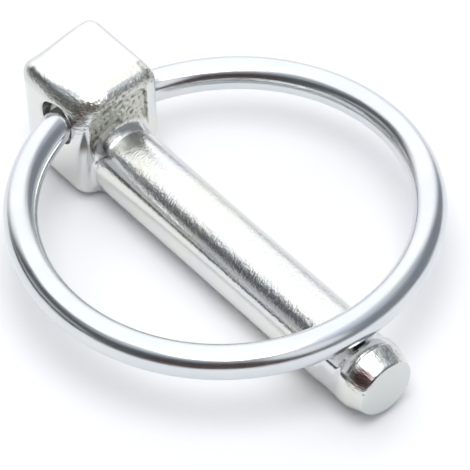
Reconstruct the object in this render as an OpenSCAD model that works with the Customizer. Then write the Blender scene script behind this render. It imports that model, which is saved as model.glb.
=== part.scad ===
// Lynch pin: a forged pin with a block head and a snap ring that swings over it.
// The origin is on the shank's axis, where the fillet under the head ends.
// +X runs along the shank to its tip and +Z points up out of the head.

/* [Shank] */
// Diameter of the shank
shank_d = 10; // [9:0.1:11]
// How far the tip stands past the middle of the ring's wire
tip_past = 6.2; // [5.6:0.1:9]
// Diameter of the flat at the tip
tip_d = 8; // [6:0.1:8.6]
// Length of the taper at the tip
tip_l = 3.2; // [2.4:0.1:3.4]
// Rounding of the two edges of the tip's taper
tip_edge_r = 0.7; // [0.3:0.05:0.9]
// Radius of the fillet between the shank and the head
fillet_r = 2.2; // [1.6:0.1:3]
// How far the fillet spreads over the head's front face
fillet_w = 1.35; // [0.9:0.05:1.5]
// Depth of the seat that the ring rests in
seat_depth = 0.25; // [0.1:0.05:0.5]
// Reach of the seat's floor from the middle of the wire towards the head
seat_back = 1.8; // [1.2:0.1:2.4]
// Reach of the seat's floor from the middle of the wire towards the tip
seat_front = 1; // [0.6:0.1:1.4]
// Length of the ramp at each side of the seat
seat_ramp = 0.45; // [0.2:0.05:0.7]

/* [Head] */
// Length of the head at its top
head_l = 14.2; // [13:0.1:16]
// Width of the head at its top
head_w = 13.4; // [12.4:0.1:15]
// Height of the head's top above the shank's underside
head_h = 17.8; // [16:0.1:20]
// How far the head's foot stands below the shank's underside
foot_stand = 0.1; // [0.05:0.05:0.3]
// Radius of the edges at the head's top
top_r = 3; // [2.2:0.1:3]
// Radius of the two corners at the front of the head's top
corner_r = 2.6; // [1.6:0.1:2.8]
// Radius of the edges at the head's foot
foot_r = 2; // [1.2:0.1:2.6]
// Radius of the two corners at the front of the head's foot
toe_r = 2; // [1.4:0.1:2.4]
// Radius of the edges at the head's back
back_r = 3; // [2:0.1:3.4]
// Radius of the edges around the head's front face
front_r = 1.3; // [0.9:0.1:1.5]
// Length of the slope at the front of the head's top
slope_l = 3.2; // [3:0.1:4]
// How far the slope drops
slope_drop = 0.4; // [0.2:0.1:0.8]
// How much shorter the head is at its foot
back_draft = 1.2; // [0:0.1:2]
// How much narrower each side of the head is at its foot
side_draft = 0.15; // [0:0.05:0.4]
// Depth of the sunk panel in the head's front face
panel_depth = 0.35; // [0.2:0.05:0.6]
// Width of the rim at each side of the sunk panel
panel_rim = 2.1; // [1.6:0.1:2.6]
// Height of the rim above the sunk panel
panel_top = 2.4; // [1.6:0.1:3.2]
// Corner radius of the sunk panel
panel_r = 1.2; // [0.8:0.1:1.6]

/* [Hinge hole] */
// Distance of the hole's middle behind the head's front face
hinge_back = 4.7; // [4.5:0.1:6]
// Height of the hole's middle above the shank's axis
hinge_up = 6.1; // [5.4:0.1:6.8]
// How much lower the hole leaves the head on its +Y side
hole_drop = 2.8; // [0:0.1:3]
// Radial clearance of the ring's ends in the hole
hinge_fit = 0.06; // [0.02:0.01:0.1]
// Diameter of the hole's wide mouths
mouth_d = 6.5; // [6:0.1:7]
// How far the mouths sit back from the hole's axis
mouth_shift = 0.4; // [0:0.1:0.6]
// Depth of the hole's wide mouths
mouth_depth = 1.7; // [1.4:0.1:2]
// Length of the taper between a mouth and the hole
mouth_taper = 0.7; // [0.4:0.1:1]

/* [Ring] */
// Diameter of the ring's wire
wire_d = 4.5; // [4.2:0.05:4.8]
// Inside diameter of the ring
ring_id = 48.6; // [47.5:0.1:50]
// Length of each leg of the bend into the hole
bend_leg = 2.3; // [1.5:0.1:2.6]
// How far outside the head the bend's corner lies
bend_out = 0.4; // [0.2:0.1:0.8]
// Gap between the two ends of the wire inside the head
end_gap = 2; // [1:0.1:3]
// How far the ring has slid towards +Y in its hole
ring_slide = 0.9; // [0:0.1:1]
// Gap between the closed ring and its seat
seat_gap = 0.05; // [0.03:0.01:0.15]

/* [Hidden] */
$fn = 64;

shank_r = shank_d / 2;
wire_r = wire_d / 2;
head_top = head_h - shank_r;
fillet_y = head_w / 2 - side_draft - front_r * 0.7;
overlap = 2;
join_lip = 0.01;
join_trim = 0.05;

// The hinge axis leans down towards +Y, and the ring leans up to its seat.
slant = atan(hole_drop / head_w);
hinge_axis = [0, cos(slant), -sin(slant)];
ring_r = (ring_id + wire_d) / 2;
corner = (head_w / 2 + bend_out) / cos(slant);
arc_stop = atan(bend_leg / ring_r) + asin(corner * cos(slant) / norm([ring_r, bend_leg]));
half_span = ring_r * (1 + cos(arc_stop)) + bend_leg * sin(arc_stop);
half_tilt = asin(corner * sin(slant) / half_span);
reach = half_span * cos(half_tilt);
seat_up = shank_r - seat_depth + seat_gap + wire_r;
ring_tilt = asin((seat_up + ring_slide * sin(slant) - hinge_up) / reach);
seat_x = reach * cos(ring_tilt) - hinge_back;
shank_l = seat_x + tip_past;

// The modules measure X from the head's front face; the finished nodes move back to the origin.
fillet_l = sqrt(2 * fillet_r * fillet_w - fillet_w * fillet_w);
wall_start = fillet_l - panel_depth;

// Points of an arc that rounds the corner b between a and c, with radius r.
function unit(v) = v / norm(v);
function rounded(a, b, c, r, steps = 8) =
    let (p = unit(a - b), q = unit(c - b), half = acos(p * q) / 2,
         centre = b + unit(p + q) * r / sin(half),
         from = atan2((b + p * r / tan(half) - centre)[1], (b + p * r / tan(half) - centre)[0]),
         to = atan2((b + q * r / tan(half) - centre)[1], (b + q * r / tan(half) - centre)[0]),
         sweep = (to - from + 540) % 360 - 180)
    [for (i = [0:steps]) centre + r * [cos(from + sweep * i / steps), sin(from + sweep * i / steps)]];

// Turns a profile drawn as [radius, x] about the shank's axis.
module turned() {
    rotate([90, 0, 90]) rotate_extrude($fn = 96) children();
}

// A frame whose z axis is dir and whose x axis is side, placed at a point.
module placed(at, side, dir) {
    up = cross(dir, side);
    multmatrix([[side[0], up[0], dir[0], at[0]],
                [side[1], up[1], dir[1], at[1]],
                [side[2], up[2], dir[2], at[2]],
                [0, 0, 0, 1]])
        children();
}

// The hinge's frame: its origin is the middle of the hole and +X points to the ring's seat.
module hinge_frame() {
    translate([-hinge_back, 0, hinge_up]) rotate([0, -ring_tilt, 0]) children();
}

// Shank with its tapered tip and the shallow seat for the ring.
module shank() {
    taper_start = [shank_r, shank_l - tip_l];
    tip_corner = [tip_d / 2, shank_l];
    near = seat_x - seat_back;
    far = seat_x + seat_front;
    turned() polygon(concat(
        [[0, -overlap], [shank_r, -overlap],
         [shank_r, near - seat_ramp], [shank_r - seat_depth, near],
         [shank_r - seat_depth, far], [shank_r, far + seat_ramp]],
        rounded([shank_r, far], taper_start, tip_corner, tip_edge_r),
        rounded(taper_start, tip_corner, [0, shank_l], tip_edge_r),
        [[0, shank_l]]));
}

// Concave fillet that carries the shank into the head's front face.
module root_fillet() {
    turned() difference() {
        translate([0, -overlap]) square([shank_r + fillet_w, overlap + wall_start]);
        translate([shank_r + fillet_r, wall_start]) circle(fillet_r);
    }
}

// Forged block with rounded edges, a little smaller at its foot, its top sloping at the front.
module head_block() {
    top_y = head_w / 2;
    foot_y = top_y - side_draft;
    foot_z = -shank_r - foot_stand;
    hull() for (s = [-1, 1]) {
        translate([back_r - head_l, s * (top_y - back_r), head_top - back_r]) sphere(back_r, $fn = 40);
        translate([-slope_l, s * (top_y - top_r), head_top - top_r]) sphere(top_r, $fn = 40);
        translate([-corner_r, s * (top_y - corner_r), head_top - slope_drop - corner_r])
            sphere(corner_r, $fn = 40);
        translate([-front_r, s * (top_y - corner_r), head_top - slope_drop - front_r])
            sphere(front_r, $fn = 40);
        translate([back_draft + foot_r - head_l, s * (foot_y - foot_r), foot_z + foot_r])
            sphere(foot_r, $fn = 40);
        translate([-front_r, s * (foot_y - front_r), foot_z + toe_r]) sphere(front_r, $fn = 40);
        translate([-toe_r, s * (foot_y - toe_r), foot_z + toe_r]) sphere(toe_r, $fn = 40);
    }
}

// Sunk panel in the head's front face, above the shank.
module panel() {
    half_w = head_w / 2 - panel_rim;
    top = head_top - panel_top;
    translate([-panel_depth, 0, 0]) rotate([90, 0, 90]) linear_extrude(panel_depth + overlap) {
        translate([-half_w, 0]) square([2 * half_w, top - panel_r]);
        translate([panel_r - half_w, 0]) square([2 * (half_w - panel_r), top]);
        for (s = [-1, 1]) translate([s * (half_w - panel_r), top - panel_r]) circle(panel_r);
    }
}

// Slanting hole through the head, with a wide mouth at each side.
module hinge_hole() {
    side = head_w / 2 / cos(slant);
    neck = side - mouth_depth;
    bore_r = wire_r + hinge_fit;
    hinge_frame() for (dir = [-hinge_axis, hinge_axis]) placed([0, 0, 0], [1, 0, 0], dir) {
        translate([0, 0, -overlap]) cylinder(r = bore_r, h = neck + overlap);
        translate([-mouth_shift, 0, neck - mouth_taper])
            cylinder(r1 = bore_r - mouth_shift, r2 = mouth_d / 2, h = mouth_taper);
        translate([-mouth_shift, 0, neck]) cylinder(d = mouth_d, h = mouth_depth + overlap);
    }
}

module pin_body() {
    color([0.76, 0.77, 0.76]) translate([-wall_start, 0, 0]) difference() {
        union() {
            difference() {
                head_block();
                panel();
            }
            shank();
            intersection() {
                root_fillet();
                translate([-overlap, -fillet_y, -shank_r])
                    cube([2 * overlap, 2 * fillet_y, shank_d + fillet_r]);
            }
        }
        hinge_hole();
    }
}

// Wire bent through an angle: it starts at a point, heads along from and turns towards side.
module wire_turn(at, from, side, r, angle) {
    trim = asin(join_trim / r);
    placed(at + r * side, -side, cross(from, side))
        rotate([0, 0, trim]) rotate_extrude(angle = angle - 2 * trim, $fn = 160)
            translate([r, 0]) circle(wire_r);
}

// Ball that joins two runs of wire along dir, a hair wider than the wire so that they overlap.
module wire_join(at, side, dir) {
    placed(at, side, dir) sphere(wire_r + join_lip);
}

// Half of the ring in the hinge's frame, from the seat round to the end in the head.
module half_ring() {
    far = [reach, 0, 0];
    inward = [-cos(half_tilt), 0, sin(half_tilt)];
    heading = [0, cos(arc_stop), 0] + sin(arc_stop) * inward;
    across = unit(cross(cross(heading, hinge_axis), heading));
    bend = acos(heading * hinge_axis);
    arc_end = far + ring_r * (1 + cos(arc_stop)) * inward - [0, ring_r * sin(arc_stop), 0];
    bend_end = arc_end + bend_leg * (heading + hinge_axis);
    wire_turn(far, [0, -1, 0], inward, ring_r, 180 - arc_stop);
    wire_join(arc_end, unit(cross(heading, hinge_axis)), heading);
    wire_turn(arc_end, heading, across, bend_leg / tan(bend / 2), bend);
    wire_join(bend_end, [1, 0, 0], hinge_axis);
    placed(bend_end, [1, 0, 0], hinge_axis)
        translate([0, 0, join_trim]) cylinder(r = wire_r, h = corner - bend_leg - end_gap / 2);
}

module ring() {
    color([0.72, 0.76, 0.82]) translate([-wall_start, 0, 0])
        hinge_frame() translate(ring_slide * hinge_axis) {
            half_ring();
            rotate([180, 0, 0]) half_ring();
            wire_join([reach, 0, 0], [1, 0, 0], [0, 1, 0]);
        }
}

pin_body();
ring();
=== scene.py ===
# %% [markdown]
# # A lynch pin: forged pin and snap ring
#
# A lynch pin is two pieces of steel. The pin is forged in one: a block head, a round shank and a tapered
# tip. The ring is one length of spring wire, bent almost into a circle, with its two ends turned into a
# hole through the head. This lesson dresses the two pieces, gives them plated-steel finishes and sets
# them on a pale table. Lengths are written in millimetres and turned into metres at the very end.

# %% Load the frame
from math import radians, degrees, pi

import bpy
import numpy as np
from mathutils import Matrix


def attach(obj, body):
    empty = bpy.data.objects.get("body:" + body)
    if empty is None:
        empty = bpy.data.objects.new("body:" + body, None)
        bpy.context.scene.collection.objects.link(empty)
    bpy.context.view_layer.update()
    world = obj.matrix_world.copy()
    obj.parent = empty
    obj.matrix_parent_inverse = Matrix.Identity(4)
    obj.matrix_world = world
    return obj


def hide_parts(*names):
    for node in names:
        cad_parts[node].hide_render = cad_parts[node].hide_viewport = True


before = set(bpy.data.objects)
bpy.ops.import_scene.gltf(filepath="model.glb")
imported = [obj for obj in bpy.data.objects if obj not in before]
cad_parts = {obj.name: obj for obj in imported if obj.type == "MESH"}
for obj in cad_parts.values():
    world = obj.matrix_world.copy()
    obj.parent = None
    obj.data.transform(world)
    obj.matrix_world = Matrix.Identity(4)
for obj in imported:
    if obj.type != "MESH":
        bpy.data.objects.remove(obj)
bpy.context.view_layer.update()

MM = 0.001

# %% [markdown]
# ## Helpers for points and meshes
#
# Everything below is worked out as whole arrays of points. A grid of points, rows by columns, becomes a
# mesh by joining each point to its neighbours. For a tube the grid also closes round its columns, and
# its two ends are capped, so that no surface is left open.


# %% A mesh from arrays
def unit(v):
    """Each vector divided by its own length."""
    v = np.asarray(v, float)
    return v / np.linalg.norm(v, axis=-1, keepdims=True)


def put(name, data):
    """An object that holds the data, placed in the scene."""
    made = bpy.data.objects.new(name, data)
    bpy.context.scene.collection.objects.link(made)
    return made


def mesh_piece(name, points, quads, triangles=()):
    """A smooth-shaded object from points in millimetres; faces are rows of point numbers."""
    mesh = bpy.data.meshes.new(name)
    faces = [tuple(face) for rows in (quads, triangles) for face in np.asarray(rows).tolist()]
    mesh.from_pydata((np.asarray(points) * MM).tolist(), [], faces)
    mesh.polygons.foreach_set("use_smooth", np.ones(len(faces), bool))
    mesh.update()
    print(name, len(mesh.vertices), "points", sum(len(face) - 2 for face in faces), "triangles")
    return put(name, mesh)


def tube_faces(rows, columns):
    """Quads of a grid that closes round its columns: point number = row * columns + column."""
    row, column = np.meshgrid(np.arange(rows - 1), np.arange(columns), indexing="ij")
    here = row * columns + column
    beside = row * columns + (column + 1) % columns
    return np.stack([here, beside, beside + columns, here + columns], -1).reshape(-1, 4)


# %% [markdown]
# ## The sizes that both pieces share
#
# The hinge hole slants down through the head, so one end of the ring sits higher than the other. These
# few sizes place the hinge and the wire; every surface below is drawn from them. X runs along the shank
# to the tip, Z is up, and the near side of the pin is the one with the smaller Y.

# %% Sizes in millimetres
FACE_X = -1.679         # the head's front face
HEAD_W, HEAD_TOP, FOOT_Z = 13.4, 12.8, -5.1
SHANK_R = 5.0
WIRE_R = 2.25
HINGE = np.array([FACE_X - 4.7, 0.0, 6.1])
HOLE_FALL = 2.8         # how much lower the hole is on the far side
SLANT = np.arctan(HOLE_FALL / HEAD_W)
RING_R = 26.55          # radius of the wire's centreline, in each half
BEND_OUT = 0.4          # from the head's side to the corner that the bend rounds off
BEND_LEG = 2.3          # from that corner to where the bend starts and ends
END_SHORT = 1.0         # from the wire's end to the middle of the hole
SLIDE = 0.9             # how far the ring has slid along the hole
SEAT_UP = 7.05          # height of the wire's centreline at the seat
TIP_LEN = 6.2           # from the seat to the end face

# %% Places that follow from the sizes
corner = (HEAD_W / 2 + BEND_OUT) / np.cos(SLANT)
leg_r = np.hypot(RING_R, BEND_LEG)
arc_stop = np.arctan(BEND_LEG / RING_R) + np.arcsin(corner * np.cos(SLANT) / leg_r)
half_span = RING_R * (1 + np.cos(arc_stop)) + BEND_LEG * np.sin(arc_stop)
half_tilt = np.arcsin(corner * np.sin(SLANT) / half_span)
reach = half_span * np.cos(half_tilt)
ring_tilt = np.arcsin((SEAT_UP + SLIDE * np.sin(SLANT) - HINGE[2]) / reach)
SEAT_X = HINGE[0] + reach * np.cos(ring_tilt)
TIP_X = SEAT_X + TIP_LEN
hinge_axis = np.array([0, np.cos(SLANT), -np.sin(SLANT)])
lean = np.array([[np.cos(ring_tilt), 0, -np.sin(ring_tilt)],
                 [0, 1, 0],
                 [np.sin(ring_tilt), 0, np.cos(ring_tilt)]])
print("ring tilt", round(degrees(ring_tilt), 2), "seat at", round(SEAT_X, 2), "tip at", round(TIP_X, 2))

# %% [markdown]
# ## The ring
#
# The real ring is drawn spring wire, so its cross-section is the same everywhere and only its centreline
# needs thought. Each half is a circle's arc that starts over the shank and runs round to the head, a
# short bend, and a straight end in the hole. The other half is the same, turned half a turn about the
# line from the hinge to the seat. A circle is carried along that centreline to make the surface.


# %% The wire's centreline
def half_line(arc_steps, bend_steps=14, end_steps=8):
    """Points of one half, measured from the hinge: arc, bend (a circle tangent to both runs), end.

    Arc: far point + RING_R * ((1 - cos t) * inward - sin t * sideways), for t from 0 to the arc's stop.
    """
    far = np.array([reach, 0, 0])
    sideways = np.array([0, 1, 0])
    inward = np.array([-np.cos(half_tilt), 0, np.sin(half_tilt)])
    heading = np.cos(arc_stop) * sideways + np.sin(arc_stop) * inward
    across = unit(np.cross(np.cross(heading, hinge_axis), heading))
    bend = np.arccos(heading @ hinge_axis)
    bend_r = BEND_LEG / np.tan(bend / 2)
    t = np.linspace(0, pi - arc_stop, arc_steps)[:, None]
    arc = far + RING_R * (1 - np.cos(t)) * inward - RING_R * np.sin(t) * sideways
    u = np.linspace(0, bend, bend_steps)[1:, None]
    turn = arc[-1] + bend_r * (np.sin(u) * heading + (1 - np.cos(u)) * across)
    straight = np.linspace(0, corner - BEND_LEG - END_SHORT, end_steps)[1:, None]
    return np.concatenate([arc, turn, turn[-1] + straight * hinge_axis])


def ring_line(steps=170):
    """Both halves end to end, slid along the hinge and leaned up to the seat."""
    one = half_line(steps)
    line = np.concatenate([one[::-1], one[1:] * [1, -1, -1]])
    return (line + SLIDE * hinge_axis) @ lean.T + HINGE


def lengths(line):
    """How far along the line each of its points lies."""
    return np.concatenate([[0], np.cumsum(np.linalg.norm(np.diff(line, axis=0), axis=1))])


wire = ring_line()
print("centreline", len(wire), "points, length", round(lengths(wire)[-1], 1), "mm")


# %% A round wire along a line
def unwrap(piece, run, columns, radius):
    """A UV map that holds millimetres, along the wire and round it.

    Where a face closes the round, its corners in column 0 count as one column past the last.
    """
    corners = np.empty(len(piece.data.loops), int)
    piece.data.loops.foreach_get("vertex_index", corners)
    starts = np.empty(len(piece.data.polygons), int)
    piece.data.polygons.foreach_get("loop_start", starts)
    row = np.minimum(corners // columns, len(run) - 1)
    column = (corners % columns).astype(float)
    first = np.repeat(column[starts], np.diff(np.append(starts, len(corners))))
    column[(column == 0) & (first == columns - 1)] = columns
    uv = piece.data.uv_layers.new(name="along_wire")
    uv.data.foreach_set("uv", np.stack([run[row], column / columns * 2 * pi * radius], 1).ravel())


def wire_surface(name, line, radius, columns=40, chamfer=0.3):
    """A circle of that radius carried along the line: point = line + radius * (cos a * up + sin a * side).

    The two ends shrink through a small chamfer to a middle point.
    """
    along = unit(np.gradient(line, axis=0))
    up = unit(np.array([0, 0, 1.0]) - along[:, 2:3] * along)
    side = np.cross(along, up)
    line = np.concatenate([line[:1], line[:1] + chamfer * along[:1], line[1:-1],
                           line[-1:] - chamfer * along[-1:], line[-1:]])
    up, side = (np.concatenate([way[:1], way, way[-1:]])[:, None] for way in (up, side))
    rows = len(line)
    r = np.full((rows, 1, 1), radius)
    r[[0, -1]] -= chamfer
    a = np.linspace(0, 2 * pi, columns, endpoint=False)[None, :, None]
    grid = line[:, None] + r * (np.cos(a) * up + np.sin(a) * side)
    points = np.concatenate([grid.reshape(-1, 3), line[:1], line[-1:]])
    here = np.arange(columns)
    beside = (here + 1) % columns
    first_middle, last_middle = np.full(columns, rows * columns), np.full(columns, rows * columns + 1)
    last_row = (rows - 1) * columns
    caps = np.concatenate([np.stack([first_middle, beside, here], 1),
                           np.stack([last_middle, last_row + here, last_row + beside], 1)])
    piece = mesh_piece(name, points, tube_faces(rows, columns), caps)
    unwrap(piece, lengths(line), columns, radius)
    return piece


ring = wire_surface("snap_ring", wire, WIRE_R)
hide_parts("ring")
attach(ring, "ring")

# %% [markdown]
# ## The forged pin, as a depth
#
# A forging has no sharp corners: its faces run into each other through small rounds and hollows. Such a
# shape is easiest as a depth function, which is negative inside the steel and positive outside. A flat
# face is one plain formula; two shapes are joined or cut by taking the smaller or larger depth, and a
# rounded minimum or maximum gives the rounds for free.


# %% Rounded joins and cuts
def both(a, b, r):
    """Where both shapes overlap, with the edge between them rounded to radius r."""
    return np.minimum(-r, np.maximum(a, b)) + np.hypot(np.maximum(a + r, 0), np.maximum(b + r, 0))


def either(a, b, r):
    """Both shapes together, with a hollow fillet of radius r between them."""
    return np.maximum(r, np.minimum(a, b)) - np.hypot(np.maximum(r - a, 0), np.maximum(r - b, 0))


def between(value, low, high):
    """0 below low, 1 above high, and a smooth S between; with low above high it falls instead."""
    t = np.clip((value - low) / (high - low), 0, 1)
    return t * t * (3 - 2 * t)


def plane(x, y, z, point, outward):
    """Depth of a flat face through a point: the dot product of the way from it and outward."""
    return (x - point[0]) * outward[0] + (y - point[1]) * outward[1] + (z - point[2]) * outward[2]


def distance(x, y, z, point):
    """How far it is to the point."""
    return np.sqrt((x - point[0]) ** 2 + (y - point[1]) ** 2 + (z - point[2]) ** 2)


# %% The head
HEAD_LEN = 14.35
BACK_DRAFT, SIDE_DRAFT, SIDE_SHIFT = 1.2, 0.15, 0.05
SLOPE_POINT, SLOPE_OUT = (FACE_X - 1.3, 0, HEAD_TOP - 0.4), (0.257, 0, 0.966)
BROW_POINT, BROW_OUT = (FACE_X - 2.8, -3.8, HEAD_TOP - 3.0), (0.50, -0.65, 0.57)
BROW_GAP = 2.05         # from that point out to the worn face
PANEL_HALF, PANEL_TOP, PANEL_SUNK = 4.6, HEAD_TOP - 2.4, 0.35


def head_depth(x, y, z):
    """Block between drafted faces; its top slopes down at the front, and its near brow corner is worn.

    The rounds change along the edges: wider towards the near side, tight at the front face.
    """
    down = (HEAD_TOP - z) / (HEAD_TOP - FOOT_Z)
    sides = np.abs(y - SIDE_SHIFT) - (HEAD_W / 2 + SIDE_DRAFT * (1 - down))
    back = FACE_X - HEAD_LEN + BACK_DRAFT * down - x
    top = both(z - HEAD_TOP, plane(x, y, z, SLOPE_POINT, SLOPE_OUT), r=0.15)
    brow = plane(x, y, z, BROW_POINT, BROW_OUT) - BROW_GAP
    near_side = between(y, 5.0, -5.0)
    forward = between(x, FACE_X - 13.0, FACE_X - 3.0)
    top_corner = between(z, 3.0, 10.0) * between(y, -2.5, -5.0)
    toe = between(z, 2.0, -3.0)
    top_round = 1.9 + near_side * (0.5 + forward ** 2)
    foot_round = 2.0 + near_side
    back_round = 2.1 + near_side * (1.7 - 1.5 * between(down, 0, 1))
    brow_round = 2.0
    front_round = 1.3 + 1.3 * top_corner + 1.1 * toe
    block = both(sides, top, top_round)
    block = both(block, FOOT_Z - z, foot_round)
    block = both(block, back, back_round)
    block = both(block, brow, brow_round)
    return both(block, x - FACE_X, front_round)


def panel_depth(x, y, z):
    """Shallow sunk panel in the front face, running out level where the shank's fillet begins."""
    outline = both(np.abs(y) - PANEL_HALF, z - PANEL_TOP, r=1.2)
    sunk = PANEL_SUNK * between(np.hypot(y, z), SHANK_R + 0.4, SHANK_R + 1.9)
    return both(outline, FACE_X - sunk - x, r=0.2)


# %% The shank
SEAT_LOW, SEAT_DEEPER = 0.08, 0.17      # the seat's depth on its lower side, and how much more on top
SEAT_STARTS, SEAT_ENDS = (SEAT_X - 2.8, SEAT_X - 1.6), (SEAT_X + 2.0, SEAT_X + 0.9)
TAPER_LEN = 3.2                         # over this length the radius shrinks by 1 mm
DOME, DOME_AT = 0.10, 4.0               # how far the end face falls off, at this radius
ROOT_IN = 2.0                           # how far inside the head the bar starts


def shank_depth(x, y, z):
    """Round bar: a seat under the ring, deeper on its upper side, a taper, and a slightly domed end face."""
    rho = np.hypot(y, z)
    seat = between(x, *SEAT_STARTS) * between(x, *SEAT_ENDS)
    bar = rho - SHANK_R + seat * (SEAT_LOW + SEAT_DEEPER * between(z, -2.0, 2.0))
    taper = ((x - TIP_X + TAPER_LEN) + (rho - SHANK_R) * TAPER_LEN) / np.hypot(1, TAPER_LEN)
    end = x - TIP_X + DOME * (rho / DOME_AT) ** 2
    tip = both(both(bar, taper, r=0.12), end, r=0.3)
    return both(tip, FACE_X - ROOT_IN - x, r=0.5)


# %% The hinge hole
BORE_R = WIRE_R + 0.06
MOUTH_R, MOUTH_BACK, MOUTH_DOWN = 3.1, 0.5, 0.35
MOUTH_DEPTH, MOUTH_TAPER = 1.7, 0.7
CONE_R, CONE_FLARE, CONE_SIDE = 1.91, 1.34, 1.512       # the taper's inner radius, growth, slanted length


def from_hinge(x, y, z):
    """How far along the hole, how far off its axis, and how far off the axis of its mouths."""
    axis = lean @ hinge_axis
    way = np.stack([x, y, z], -1) - HINGE
    along = way @ axis
    spoke = way - along[..., None] * axis
    shifted = spoke + MOUTH_BACK * lean[:, 0] + MOUTH_DOWN * lean[:, 2]
    return along, np.linalg.norm(spoke, axis=-1), np.linalg.norm(shifted, axis=-1)


def hole_depth(x, y, z):
    """Slanting bore with a wide, tapered mouth at each side; the mouths sit a little back and down."""
    along, off_axis, off_mouth = from_hinge(x, y, z)
    neck = HEAD_W / 2 / np.cos(SLANT) - MOUTH_DEPTH
    cone = (neck - MOUTH_TAPER - np.abs(along)) * CONE_FLARE + (off_mouth - CONE_R) * MOUTH_TAPER
    mouth = both(off_mouth - MOUTH_R, cone / CONE_SIDE, r=0.4)
    return np.minimum(off_axis - BORE_R, mouth)


# %% The rough skin
SKIN_WAVES = ((0.020, 1.7, 3), (0.028, 0.8, 5), (0.016, 0.45, 7))       # height, size, seed
BROW_SKIN = 0.7                                                         # against 1 in the panel


def pitted(x, y, z, size, seed, waves=30):
    """Uneven skin between about -1 and 1: plane waves of one length, summed in random directions."""
    rng = np.random.default_rng(seed)
    total = 0.0
    for k, start in zip(unit(rng.normal(size=(waves, 3))) * 2 * pi / size, rng.uniform(0, 2 * pi, waves)):
        total = total + np.cos(k[0] * x + k[1] * y + k[2] * z + start)
    return total / np.sqrt(waves)


def skin_area(x, y, z):
    """1 where the skin is rough, in the panel; less on the brow above it; 0 where it is calm."""
    off_fillet = between(np.hypot(y, z), SHANK_R + 0.9, SHANK_R + 1.4)
    near_front = between(x, FACE_X - 2.6, FACE_X - 1.6) * off_fillet
    in_panel = between(np.abs(y), PANEL_HALF + 0.3, PANEL_HALF) * between(z, PANEL_TOP + 0.3, PANEL_TOP)
    on_floor = between(x, FACE_X - 0.6, FACE_X - 0.45)
    brow = between(z, HEAD_TOP - 2.6, HEAD_TOP - 2.0) * between(z, HEAD_TOP - 0.5, HEAD_TOP - 0.9)
    return near_front * np.maximum(in_panel * on_floor, BROW_SKIN * brow)


def skin(x, y, z):
    """How far the rough skin stands out, in three sizes of pits and lumps; 0 where the skin is calm."""
    out = np.array(skin_area(x, y, z))
    at = out > 0
    spots = x[at], y[at], z[at]
    out[at] *= sum(height * pitted(*spots, size, seed) for height, size, seed in SKIN_WAVES)
    return out


# %% The whole forging
NICK, NICK_R = (51.85, -3.85, 1.85), 0.32


def pin_depth(x, y, z):
    """Head less its panel, joined to the shank by a fillet, less a nick and the hinge hole, plus the skin."""
    head = both(head_depth(x, y, z), -panel_depth(x, y, z), r=0.3)
    fillet = 2.1 - 1.5 * between(np.abs(y), 3.0, 4.6)
    body = np.maximum(either(head, shank_depth(x, y, z), fillet), FOOT_Z - z)
    body = both(body, NICK_R - distance(x, y, z, NICK), r=0.1)
    return both(body, -hole_depth(x, y, z), r=0.35) - skin(x, y, z)


# %% [markdown]
# ## Marks on the skin
#
# Shape alone doesn't tell the finish where the plating is brushed or duller, where painted shade and a
# painted brown reflection go, or where the near front edge is darker. Each mark is a number between 0 and 1
# at every place, which the finish reads later.

# %% Places of the marks
# centre of the painted brown reflection by the tip
BROWN_REFLECTION_AT = (50.5, -3.05, 3.3)
# centre of the painted shade in the hollow at the fillet's root
FILLET_ROOT = (FACE_X + 0.1, -3.5, 4.3)
DEEP_PIT = 0.045


def brushed_edge(x, y, z):
    """1 along the round of the top's near edge, where fine scratches cross it."""
    band = between(z, HEAD_TOP - 2.8, HEAD_TOP - 2.0) * between(z, HEAD_TOP - 0.6, HEAD_TOP - 0.9)
    return band * between(y, -4.0, -4.5)


def edge_and_shade_mask(x, y, z):
    """Painted shade at the fillet's root and in the hinge hole's mouth, and a darker near front edge; all
    three are duller too.
    """
    # a darker strip along the near front edge
    edge = between(x, FACE_X - 0.75, FACE_X - 0.55) * between(y, -5.2, -5.5) * between(z, 10.6, 9.6)
    edge = edge * between(z, -3.5, -2.0) * (0.1 + 0.9 * between(z, 4.0, 6.2))
    # painted shade in the hollow at the fillet's root
    root = between(distance(x, y, z, FILLET_ROOT), 1.5, 0.7)
    # painted shade inside the mouth of the hinge hole
    off_mouth = from_hinge(x, y, z)[2]
    mouth = between(off_mouth, MOUTH_R + 0.2, MOUTH_R - 0.1)
    mouth = mouth * between(np.abs(y), HEAD_W / 2 - 0.2, HEAD_W / 2 - 0.6)
    return np.maximum(np.maximum(edge, 0.55 * mouth), 0.8 * root)


def marks_at(x, y, z):
    """Every mark by its name."""
    return {
        "pit": between(skin(x, y, z), 0, -DEEP_PIT),
        "rough_skin": np.maximum(skin_area(x, y, z), 0.5 * brushed_edge(x, y, z)),
        # painted shade at the fillet's root and in the hinge hole, and a darker near front edge
        "dark_edge_and_painted_shade": edge_and_shade_mask(x, y, z),
        # painted brown reflection by the tip
        "painted_brown_reflection": between(distance(x, y, z, BROWN_REFLECTION_AT), 1.9, 0.6),
    }


# %% [markdown]
# ## From depth to surface
#
# The depth is worked out on a block of grid points, finer round the head and the tip than along the plain
# shank. Every little cell that the surface crosses gets one point, the middle of its crossings, and
# neighbouring cells are joined by quads. Then each point slides down the slope of the depth until it
# lies exactly on the surface, which makes the round parts truly round.


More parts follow.
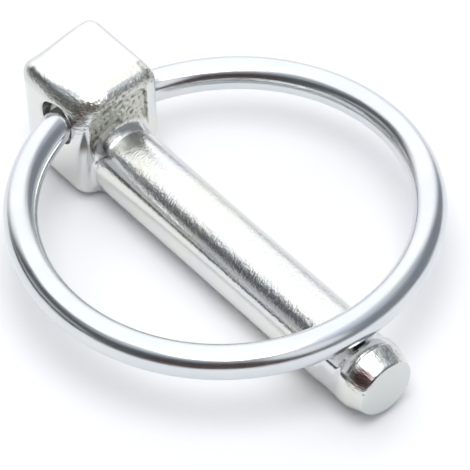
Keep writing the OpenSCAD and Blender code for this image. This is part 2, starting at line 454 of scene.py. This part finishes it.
# %% A surface net
def surface_net(depth):
    """Points (in grid steps) and quads of the zero surface of a block of depths."""
    shape = np.array(depth.shape) - 1
    total, count = np.zeros((3, shape.prod())), np.zeros(shape.prod())
    faces = []
    for k in range(3):
        i, j = (k + 1) % 3, (k + 2) % 3
        near, far = [slice(None)] * 3, [slice(None)] * 3
        near[k], far[k] = slice(None, -1), slice(1, None)
        a, b = depth[tuple(near)], depth[tuple(far)]
        at = np.argwhere((a < 0) != (b < 0))
        va, vb = a[tuple(at.T)], b[tuple(at.T)]
        crossing = at.astype(float)
        crossing[:, k] += va / (va - vb)
        cells_round = []
        for di, dj in ((1, 1), (0, 1), (0, 0), (1, 0)):
            cell = at.copy()
            cell[:, i] -= di
            cell[:, j] -= dj
            flat = np.ravel_multi_index(tuple(cell.T), shape)
            cells_round.append(flat)
            count += np.bincount(flat, minlength=len(count))
            for m in range(3):
                total[m] += np.bincount(flat, crossing[:, m], len(count))
        quads = np.stack(cells_round, 1)
        quads[vb < 0] = quads[vb < 0][:, ::-1]
        faces.append(quads)
    used, number = np.flatnonzero(count), np.zeros(len(count), int)
    number[used] = np.arange(len(used))
    return (total[:, used] / count[used]).T, number[np.concatenate(faces)]


def slide_onto(depth_of, points, rounds=4, h=0.01, longest=0.1):
    """Newton's steps: move each point against the slope by depth / slope, so that its depth becomes 0."""
    for _ in range(rounds):
        rises = [depth_of(*(points + way).T) - depth_of(*(points - way).T) for way in h * np.eye(3)]
        slope = np.stack(rises, 1) / (2 * h)
        move = depth_of(*points.T) / (slope ** 2).sum(1)
        points = points - np.clip(move, -longest, longest)[:, None] * slope
    return points


# %% The pin's surface
STEP = 0.155
stretches = (
    (FACE_X - 14.7, FACE_X - 3.4, 1.5 * STEP),      # back of the head
    (FACE_X - 3.3, FACE_X + 2.2, STEP),             # front of the head and fillet
    (FACE_X + 2.4, SEAT_X - 3.2, 0.5),              # plain shank
    (SEAT_X - 3.0, TIP_X + 0.4, 1.2 * STEP),        # seat and tip
)
MARGIN = 0.5            # empty space round the steel, so that the surface closes
xs = np.concatenate([np.arange(*stretch) for stretch in stretches])
ys = np.arange(-HEAD_W / 2 - 0.42, HEAD_W / 2 + MARGIN, STEP)
zs = np.arange(FOOT_Z - 0.37, HEAD_TOP + MARGIN, STEP)
axes = xs, ys, zs
block = pin_depth(*np.meshgrid(*axes, indexing="ij"))
net, net_quads = surface_net(block)
net = np.stack([np.interp(net[:, k], np.arange(len(axis)), axis) for k, axis in enumerate(axes)], 1)
net = slide_onto(pin_depth, net)
print("block of", block.shape, "deepest miss", round(float(np.abs(pin_depth(*net.T)).max()), 4), "mm")

pin = mesh_piece("forged_pin", net, net_quads)
marks = marks_at(*net.T)
for name, value in marks.items():
    pin.data.attributes.new(name, "FLOAT", "POINT").data.foreach_set("value", value.astype(np.float32))
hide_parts("pin_body")
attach(pin, "pin")

# %% [markdown]
# ## Shader maths as Python
#
# A material is a little sum over the surface. A small class wraps one socket, so that an ordinary Python
# expression adds the Math nodes; every other node comes from one method.


# %% A socket that can be added and multiplied
class Value:
    """One output socket; sums with it add Math nodes to its material."""

    def __init__(self, tree, socket):
        self.tree, self.socket = tree, socket

    def node(self, kind, settings=(), out=0, **inputs):
        """Any node: its type, its settings, then what its sockets get, by name or as n and a number."""
        made = self.tree.nodes.new(kind)
        for key, value in dict(settings).items():
            setattr(made, key, value)
        for key, value in inputs.items():
            numbered = key[0] == "n" and key[1:].isdigit()
            socket = made.inputs[int(key[1:]) if numbered else key]
            if isinstance(value, Value):
                self.tree.links.new(value.socket, socket)
            else:
                socket.default_value = value
        return Value(self.tree, made.outputs[out])

    def math(self, operation, other):
        """One Math node on two numbers."""
        return self.node("ShaderNodeMath", {"operation": operation}, n0=self, n1=other)

    def __add__(self, other):
        return self.math("ADD", other)

    __radd__ = __add__

    def __sub__(self, other):
        return self.math("SUBTRACT", other)

    def __rsub__(self, other):
        return self * -1.0 + other

    def __mul__(self, other):
        return self.math("MULTIPLY", other)

    def between(self, low, high):
        """0 below low, 1 above high, and a smooth S between."""
        return self.node("ShaderNodeMapRange", {"interpolation_type": "SMOOTHSTEP"},
                         n0=self, n1=low, n2=high, n3=0.0, n4=1.0)

    def stretched(self, x, y, z):
        """The same place with its three directions multiplied."""
        return self.node("ShaderNodeMapping", n0=self, n3=(x, y, z))

    def noise(self, scale, detail, roughness=0.5):
        """Uneven values between 0 and 1; scale counts the waves in one unit of the place."""
        return self.node("ShaderNodeTexNoise", n0=self, Scale=scale, Detail=detail, Roughness=roughness)

    def mark(self, name):
        """A number that the mesh holds at each of its points."""
        return self.node("ShaderNodeAttribute", {"attribute_name": name}, out=2)

    def bump(self):
        """A bent normal from this height in millimetres."""
        return self.node("ShaderNodeBump", Strength=1.0, Distance=MM, Height=self)


def mix(amount, first, second):
    """A colour between first and second."""
    return amount.node("ShaderNodeMix", {"data_type": "RGBA"}, out=2, n0=amount, n6=first, n7=second)


def steel(name, colour, roughness):
    """A metal with a Principled shader; returns the material, its shader, and its object coordinates.

    The plain colour and roughness serve a reader that can't follow the values which drive them later.
    """
    material = bpy.data.materials.new(name)
    material.use_nodes = True
    tree = material.node_tree
    shader = tree.nodes["Principled BSDF"]
    shader.inputs["Base Color"].default_value = (*colour, 1)
    shader.inputs["Roughness"].default_value = roughness
    shader.inputs["Metallic"].default_value = 1.0
    return material, shader, Value(tree, tree.nodes.new("ShaderNodeTexCoord").outputs["Object"])


def drive(shader, name, value):
    """Links a value to one of the shader's sockets."""
    value.tree.links.new(value.socket, shader.inputs[name])


# %% [markdown]
# ## Plated steel on the pin
#
# The forging is plated bright, but its skin keeps the marks of how it was made. Fine lines run round the
# turned shank, streaks run along the taper, the head has a frosted grain, and the pits of the sunk panel
# stay dull and dark. Painted shade darkens the fillet's root, the hinge hole's mouth and streaks on top
# of the taper, a painted brown reflection lies by the tip, and the near front edge is darker.

# %% Colours of the pin
PLATE, WARM_PLATE, END_PLATE = (0.70, 0.71, 0.71, 1), (0.73, 0.73, 0.68, 1), (0.62, 0.64, 0.62, 1)
# the darkest colour is painted shade at the fillet's root and in the hinge hole, and darkens the near front
# edge
FROSTED, EDGE_AND_SHADE_DARK, IN_PITS = (0.60, 0.60, 0.54, 1), (0.15, 0.15, 0.135, 1), (0.25, 0.25, 0.21, 1)
# painted shade and reflection: the grey darkens streaks on the upper side of the taper, and the brown is a
# painted reflection by the tip
STREAK_SHADE_GREY, REFLECTION_BROWN = (0.30, 0.30, 0.33, 1), (0.30, 0.19, 0.175, 1)

# %% Patterns and places on the pin
forged, shader, place = steel("forged_plate", (0.71, 0.715, 0.70), 0.16)
split = place.node("ShaderNodeSeparateXYZ", n0=place)
px, pz = (Value(place.tree, split.socket.node.outputs[name]) * (1 / MM) for name in "XZ")
pit, rough_skin, dark_edge_and_painted_shade, painted_brown_reflection = (place.mark(name) for name in marks)

lines = place.stretched(4.5, 1.9, 1.9).noise(1000.0, 2.0, 0.6)
streaks = place.stretched(0.5, 3.2, 3.2).noise(1000.0, 2.0, 0.6)
# noise for the painted shade streaks on the taper
streak_shade_noise = place.noise(1100.0, 3.0, 0.6)
grain = place.noise(2200.0, 3.0, 0.6)
cloud = place.noise(170.0, 3.0)

on_shank = px.between(FACE_X + 1.0, FACE_X + 7.0)
by_seat = px.between(SEAT_X - 3.0, SEAT_X - 1.0)
on_end = px.between(TIP_X - 0.45, TIP_X - 0.2)
on_taper = px.between(TIP_X - 3.3, TIP_X - 3.0) * (1.0 - px.between(TIP_X - 0.4, TIP_X - 0.2))
calm_below = 0.35 + pz.between(3.2, 4.0) * 0.65
# painted shade: dark streaks over the upper side of the taper, where its highlight falls
painted_streak_shade = on_taper * pz.between(2.0, 3.6) * streak_shade_noise.between(0.46, 0.66) * 0.5
print("patterns and places", len(place.tree.nodes), "nodes")

# %% The pin's finish
turned = lines * on_shank * calm_below * (0.064 - by_seat * 0.035)
frosting = grain * (1.0 - on_shank) * (rough_skin * 0.080 + 0.045 - on_taper * 0.030)
drawn = streaks * on_taper * 0.06
drive(shader, "Normal", (turned + frosting + drawn).bump())

colour = mix(cloud.between(0.35, 0.7), PLATE, WARM_PLATE)
# painted shade and a painted reflection are mixed in here: the dark mark at the fillet's root and hinge hole,
# the grey streaks on the taper and the brown spot by the tip
for amount, other in ((on_end, END_PLATE), (rough_skin, FROSTED), (dark_edge_and_painted_shade, EDGE_AND_SHADE_DARK),
                      (painted_streak_shade, STREAK_SHADE_GREY), (painted_brown_reflection, REFLECTION_BROWN), (pit, IN_PITS)):
    colour = mix(amount, colour, other)
drive(shader, "Base Color", colour)

roughness = 0.10 + cloud * 0.06 - on_shank * 0.04 + rough_skin * 0.16 + pit * 0.15
drive(shader, "Roughness", roughness + dark_edge_and_painted_shade * 0.2 + on_taper * 0.10)
pin.data.materials.append(forged)
print("forged_plate", len(place.tree.nodes), "nodes")

# %% [markdown]
# ## Bright zinc on the ring
#
# Drawn wire is smooth before it is plated, so the ring mirrors the room more cleanly than the pin, with
# a bluish cast from the plating. The drawing die leaves faint streaks that run along the wire.

# %% Colours of the ring
ZINC, PALE_ZINC, GREEN_TINGE = (0.65, 0.67, 0.705, 1), (0.69, 0.70, 0.71, 1), (0.63, 0.70, 0.675, 1)

# %% The ring's finish
zinc, shader, place = steel("bright_zinc", (0.67, 0.685, 0.71), 0.15)
along_wire = place.node("ShaderNodeUVMap", {"uv_map": "along_wire"})
streaks = along_wire.stretched(0.10, 1.6, 1.0).noise(1.0, 3.0, 0.55)
cloud = place.noise(160.0, 2.0)
tinge = place.noise(45.0, 1.0)
scuff = place.noise(900.0, 3.0)
drive(shader, "Normal", (streaks * 0.02).bump())
colour = mix(cloud.between(0.35, 0.7), ZINC, PALE_ZINC)
drive(shader, "Base Color", mix(tinge.between(0.45, 0.65) * 0.25, colour, GREEN_TINGE))
drive(shader, "Roughness", 0.13 + scuff * 0.10)
ring.data.materials.append(zinc)
print("bright_zinc", len(place.tree.nodes), "nodes")

# %% [markdown]
# ## The table, the room and the camera
#
# Metal shows its surroundings, so the room matters more than the lamp. A bright ceiling leans over to
# the left and to the back, the wall behind the pin is bright too, and the other walls are dark: they
# draw the dark bands along every round bar. One window on the camera's side adds a second, thinner
# light, and a thin light line runs round the foot of the walls and climbs up the left one.

# %% The table
TABLE_HALF = 2.0        # metres
corner_ways = ((-1, -1), (1, -1), (1, 1), (-1, 1))
table_corners = [(x * TABLE_HALF, y * TABLE_HALF, FOOT_Z * MM) for x, y in corner_ways]
table_top = bpy.data.meshes.new("table")
table_top.from_pydata(table_corners, [], [(0, 1, 2, 3)])
table = put("table", table_top)
pale = bpy.data.materials.new("pale_table")
pale.use_nodes = True
paint = pale.node_tree.nodes["Principled BSDF"]
paint.inputs["Base Color"].default_value = (0.97, 0.97, 0.98, 1)
paint.inputs["Roughness"].default_value = 0.9
paint.inputs["Specular IOR Level"].default_value = 0.0
table.data.materials.append(pale)
print("table", 2 * TABLE_HALF, "m wide")

# %% Colours of the room
LEFT_WALL, RIGHT_WALL = (0.11, 0.115, 0.12, 1), (0.27, 0.29, 0.32, 1)
CAMERA_WALL = (0.090, 0.064, 0.058, 1)
BACK_WALL_LOW, BACK_WALL_HIGH = (1.15, 1.16, 1.20, 1), (1.45, 1.46, 1.48, 1)
ZENITH, CEILING = (0.90, 0.97, 1.06, 1), (1.45, 1.46, 1.46, 1)
WINDOW, FOOT_LINE = (1.05, 1.05, 1.05, 1), (0.75, 0.76, 0.78, 1)
BACKDROP = (1, 1, 1, 1)

# %% The room
room = bpy.data.worlds.new("room")
bpy.context.scene.world = room
room.use_nodes = True
tree = room.node_tree
look = Value(tree, tree.nodes.new("ShaderNodeTexCoord").outputs["Generated"])


def facing(direction):
    """How nearly a look direction agrees with the given one: their dot product."""
    toward = tuple(unit(direction))
    return look.node("ShaderNodeVectorMath", {"operation": "DOT_PRODUCT"}, out=1, n0=look, n1=toward)


# as the camera sees it: to its right, away from it, and up
side, away, up = np.array([0.616, 0.788, 0]), np.array([-0.788, 0.616, 0]), np.array([0, 0, 1.0])

camera_side = facing(0.35 * up - away).between(0.68, 0.90)
high = facing(up).between(0.55, 1.0)
left = facing(-side).between(0.80, 0.92)
height = facing(up) * (1.0 - left * 0.62) - left * 0.07
foot = height.between(-0.01, 0.03) * (1.0 - height.between(0.05, 0.11))
window = facing(0.48 * side - 0.64 * away + 0.60 * up).between(0.935, 0.985)
behind = facing(away + 0.36 * up - 0.15 * side).between(0.62, 0.86)
ceiling = facing(up - 0.18 * side + 0.25 * away).between(0.84, 0.88)

sky = mix(facing(side).between(-0.3, 0.6), LEFT_WALL, RIGHT_WALL)
back_wall = mix(facing(up).between(0.0, 0.4), BACK_WALL_LOW, BACK_WALL_HIGH)
for amount, other in ((camera_side, CAMERA_WALL), (high, ZENITH), (foot * 0.7, FOOT_LINE),
                      (window, WINDOW), (behind, back_wall), (ceiling, CEILING)):
    sky = mix(amount, sky, other)
seen = Value(tree, tree.nodes.new("ShaderNodeLightPath").outputs["Is Camera Ray"])
sky = mix(seen, sky, BACKDROP)
tree.links.new(sky.socket, tree.nodes["Background"].inputs["Color"])
tree.nodes["Background"].inputs["Strength"].default_value = 1.0
print("room", len(tree.nodes), "nodes")

# %% One soft lamp, high up
lamp = bpy.data.lights.new("soft_lamp", "AREA")
lamp.shape, lamp.size, lamp.energy = "DISK", 0.36, 1.2
put("soft_lamp", lamp).location = (0.15, -0.10, 0.55)
print("lamp of", lamp.energy, "W,", lamp.size, "m across")

# %% The camera
AZ, EL, ROLL = radians(52.030), radians(47.881), radians(-2.5032)
DISTANCE, SHIFT_ACROSS, SHIFT_UP = 433.75, 15.148, -10.444      # from the shank's axis at the head's face
PICTURE, FOCAL, SENSOR = 470, 3224.3, 36                        # pixels, pixels, millimetres
back = np.array([np.sin(AZ) * np.cos(EL), -np.cos(AZ) * np.cos(EL), np.sin(EL)])
right = np.array([np.cos(AZ), np.sin(AZ), 0])
over = np.cross(back, right)
across = np.cos(ROLL) * right + np.sin(ROLL) * over
upward = -np.sin(ROLL) * right + np.cos(ROLL) * over
place_mm = back * DISTANCE + across * SHIFT_ACROSS + upward * SHIFT_UP + [FACE_X, 0, 0]
camera = bpy.data.cameras.new("camera")
camera.sensor_width, camera.lens = SENSOR, FOCAL * SENSOR / PICTURE
turned = np.eye(4)
turned[:3] = np.column_stack([across, upward, back, place_mm * MM])
eye = put("camera", camera)
eye.matrix_world = Matrix(turned.tolist())
bpy.context.scene.camera = eye
bpy.context.scene.view_settings.view_transform = "Standard"
print("camera at", np.round(place_mm), "mm, lens", round(camera.lens, 1), "mm")
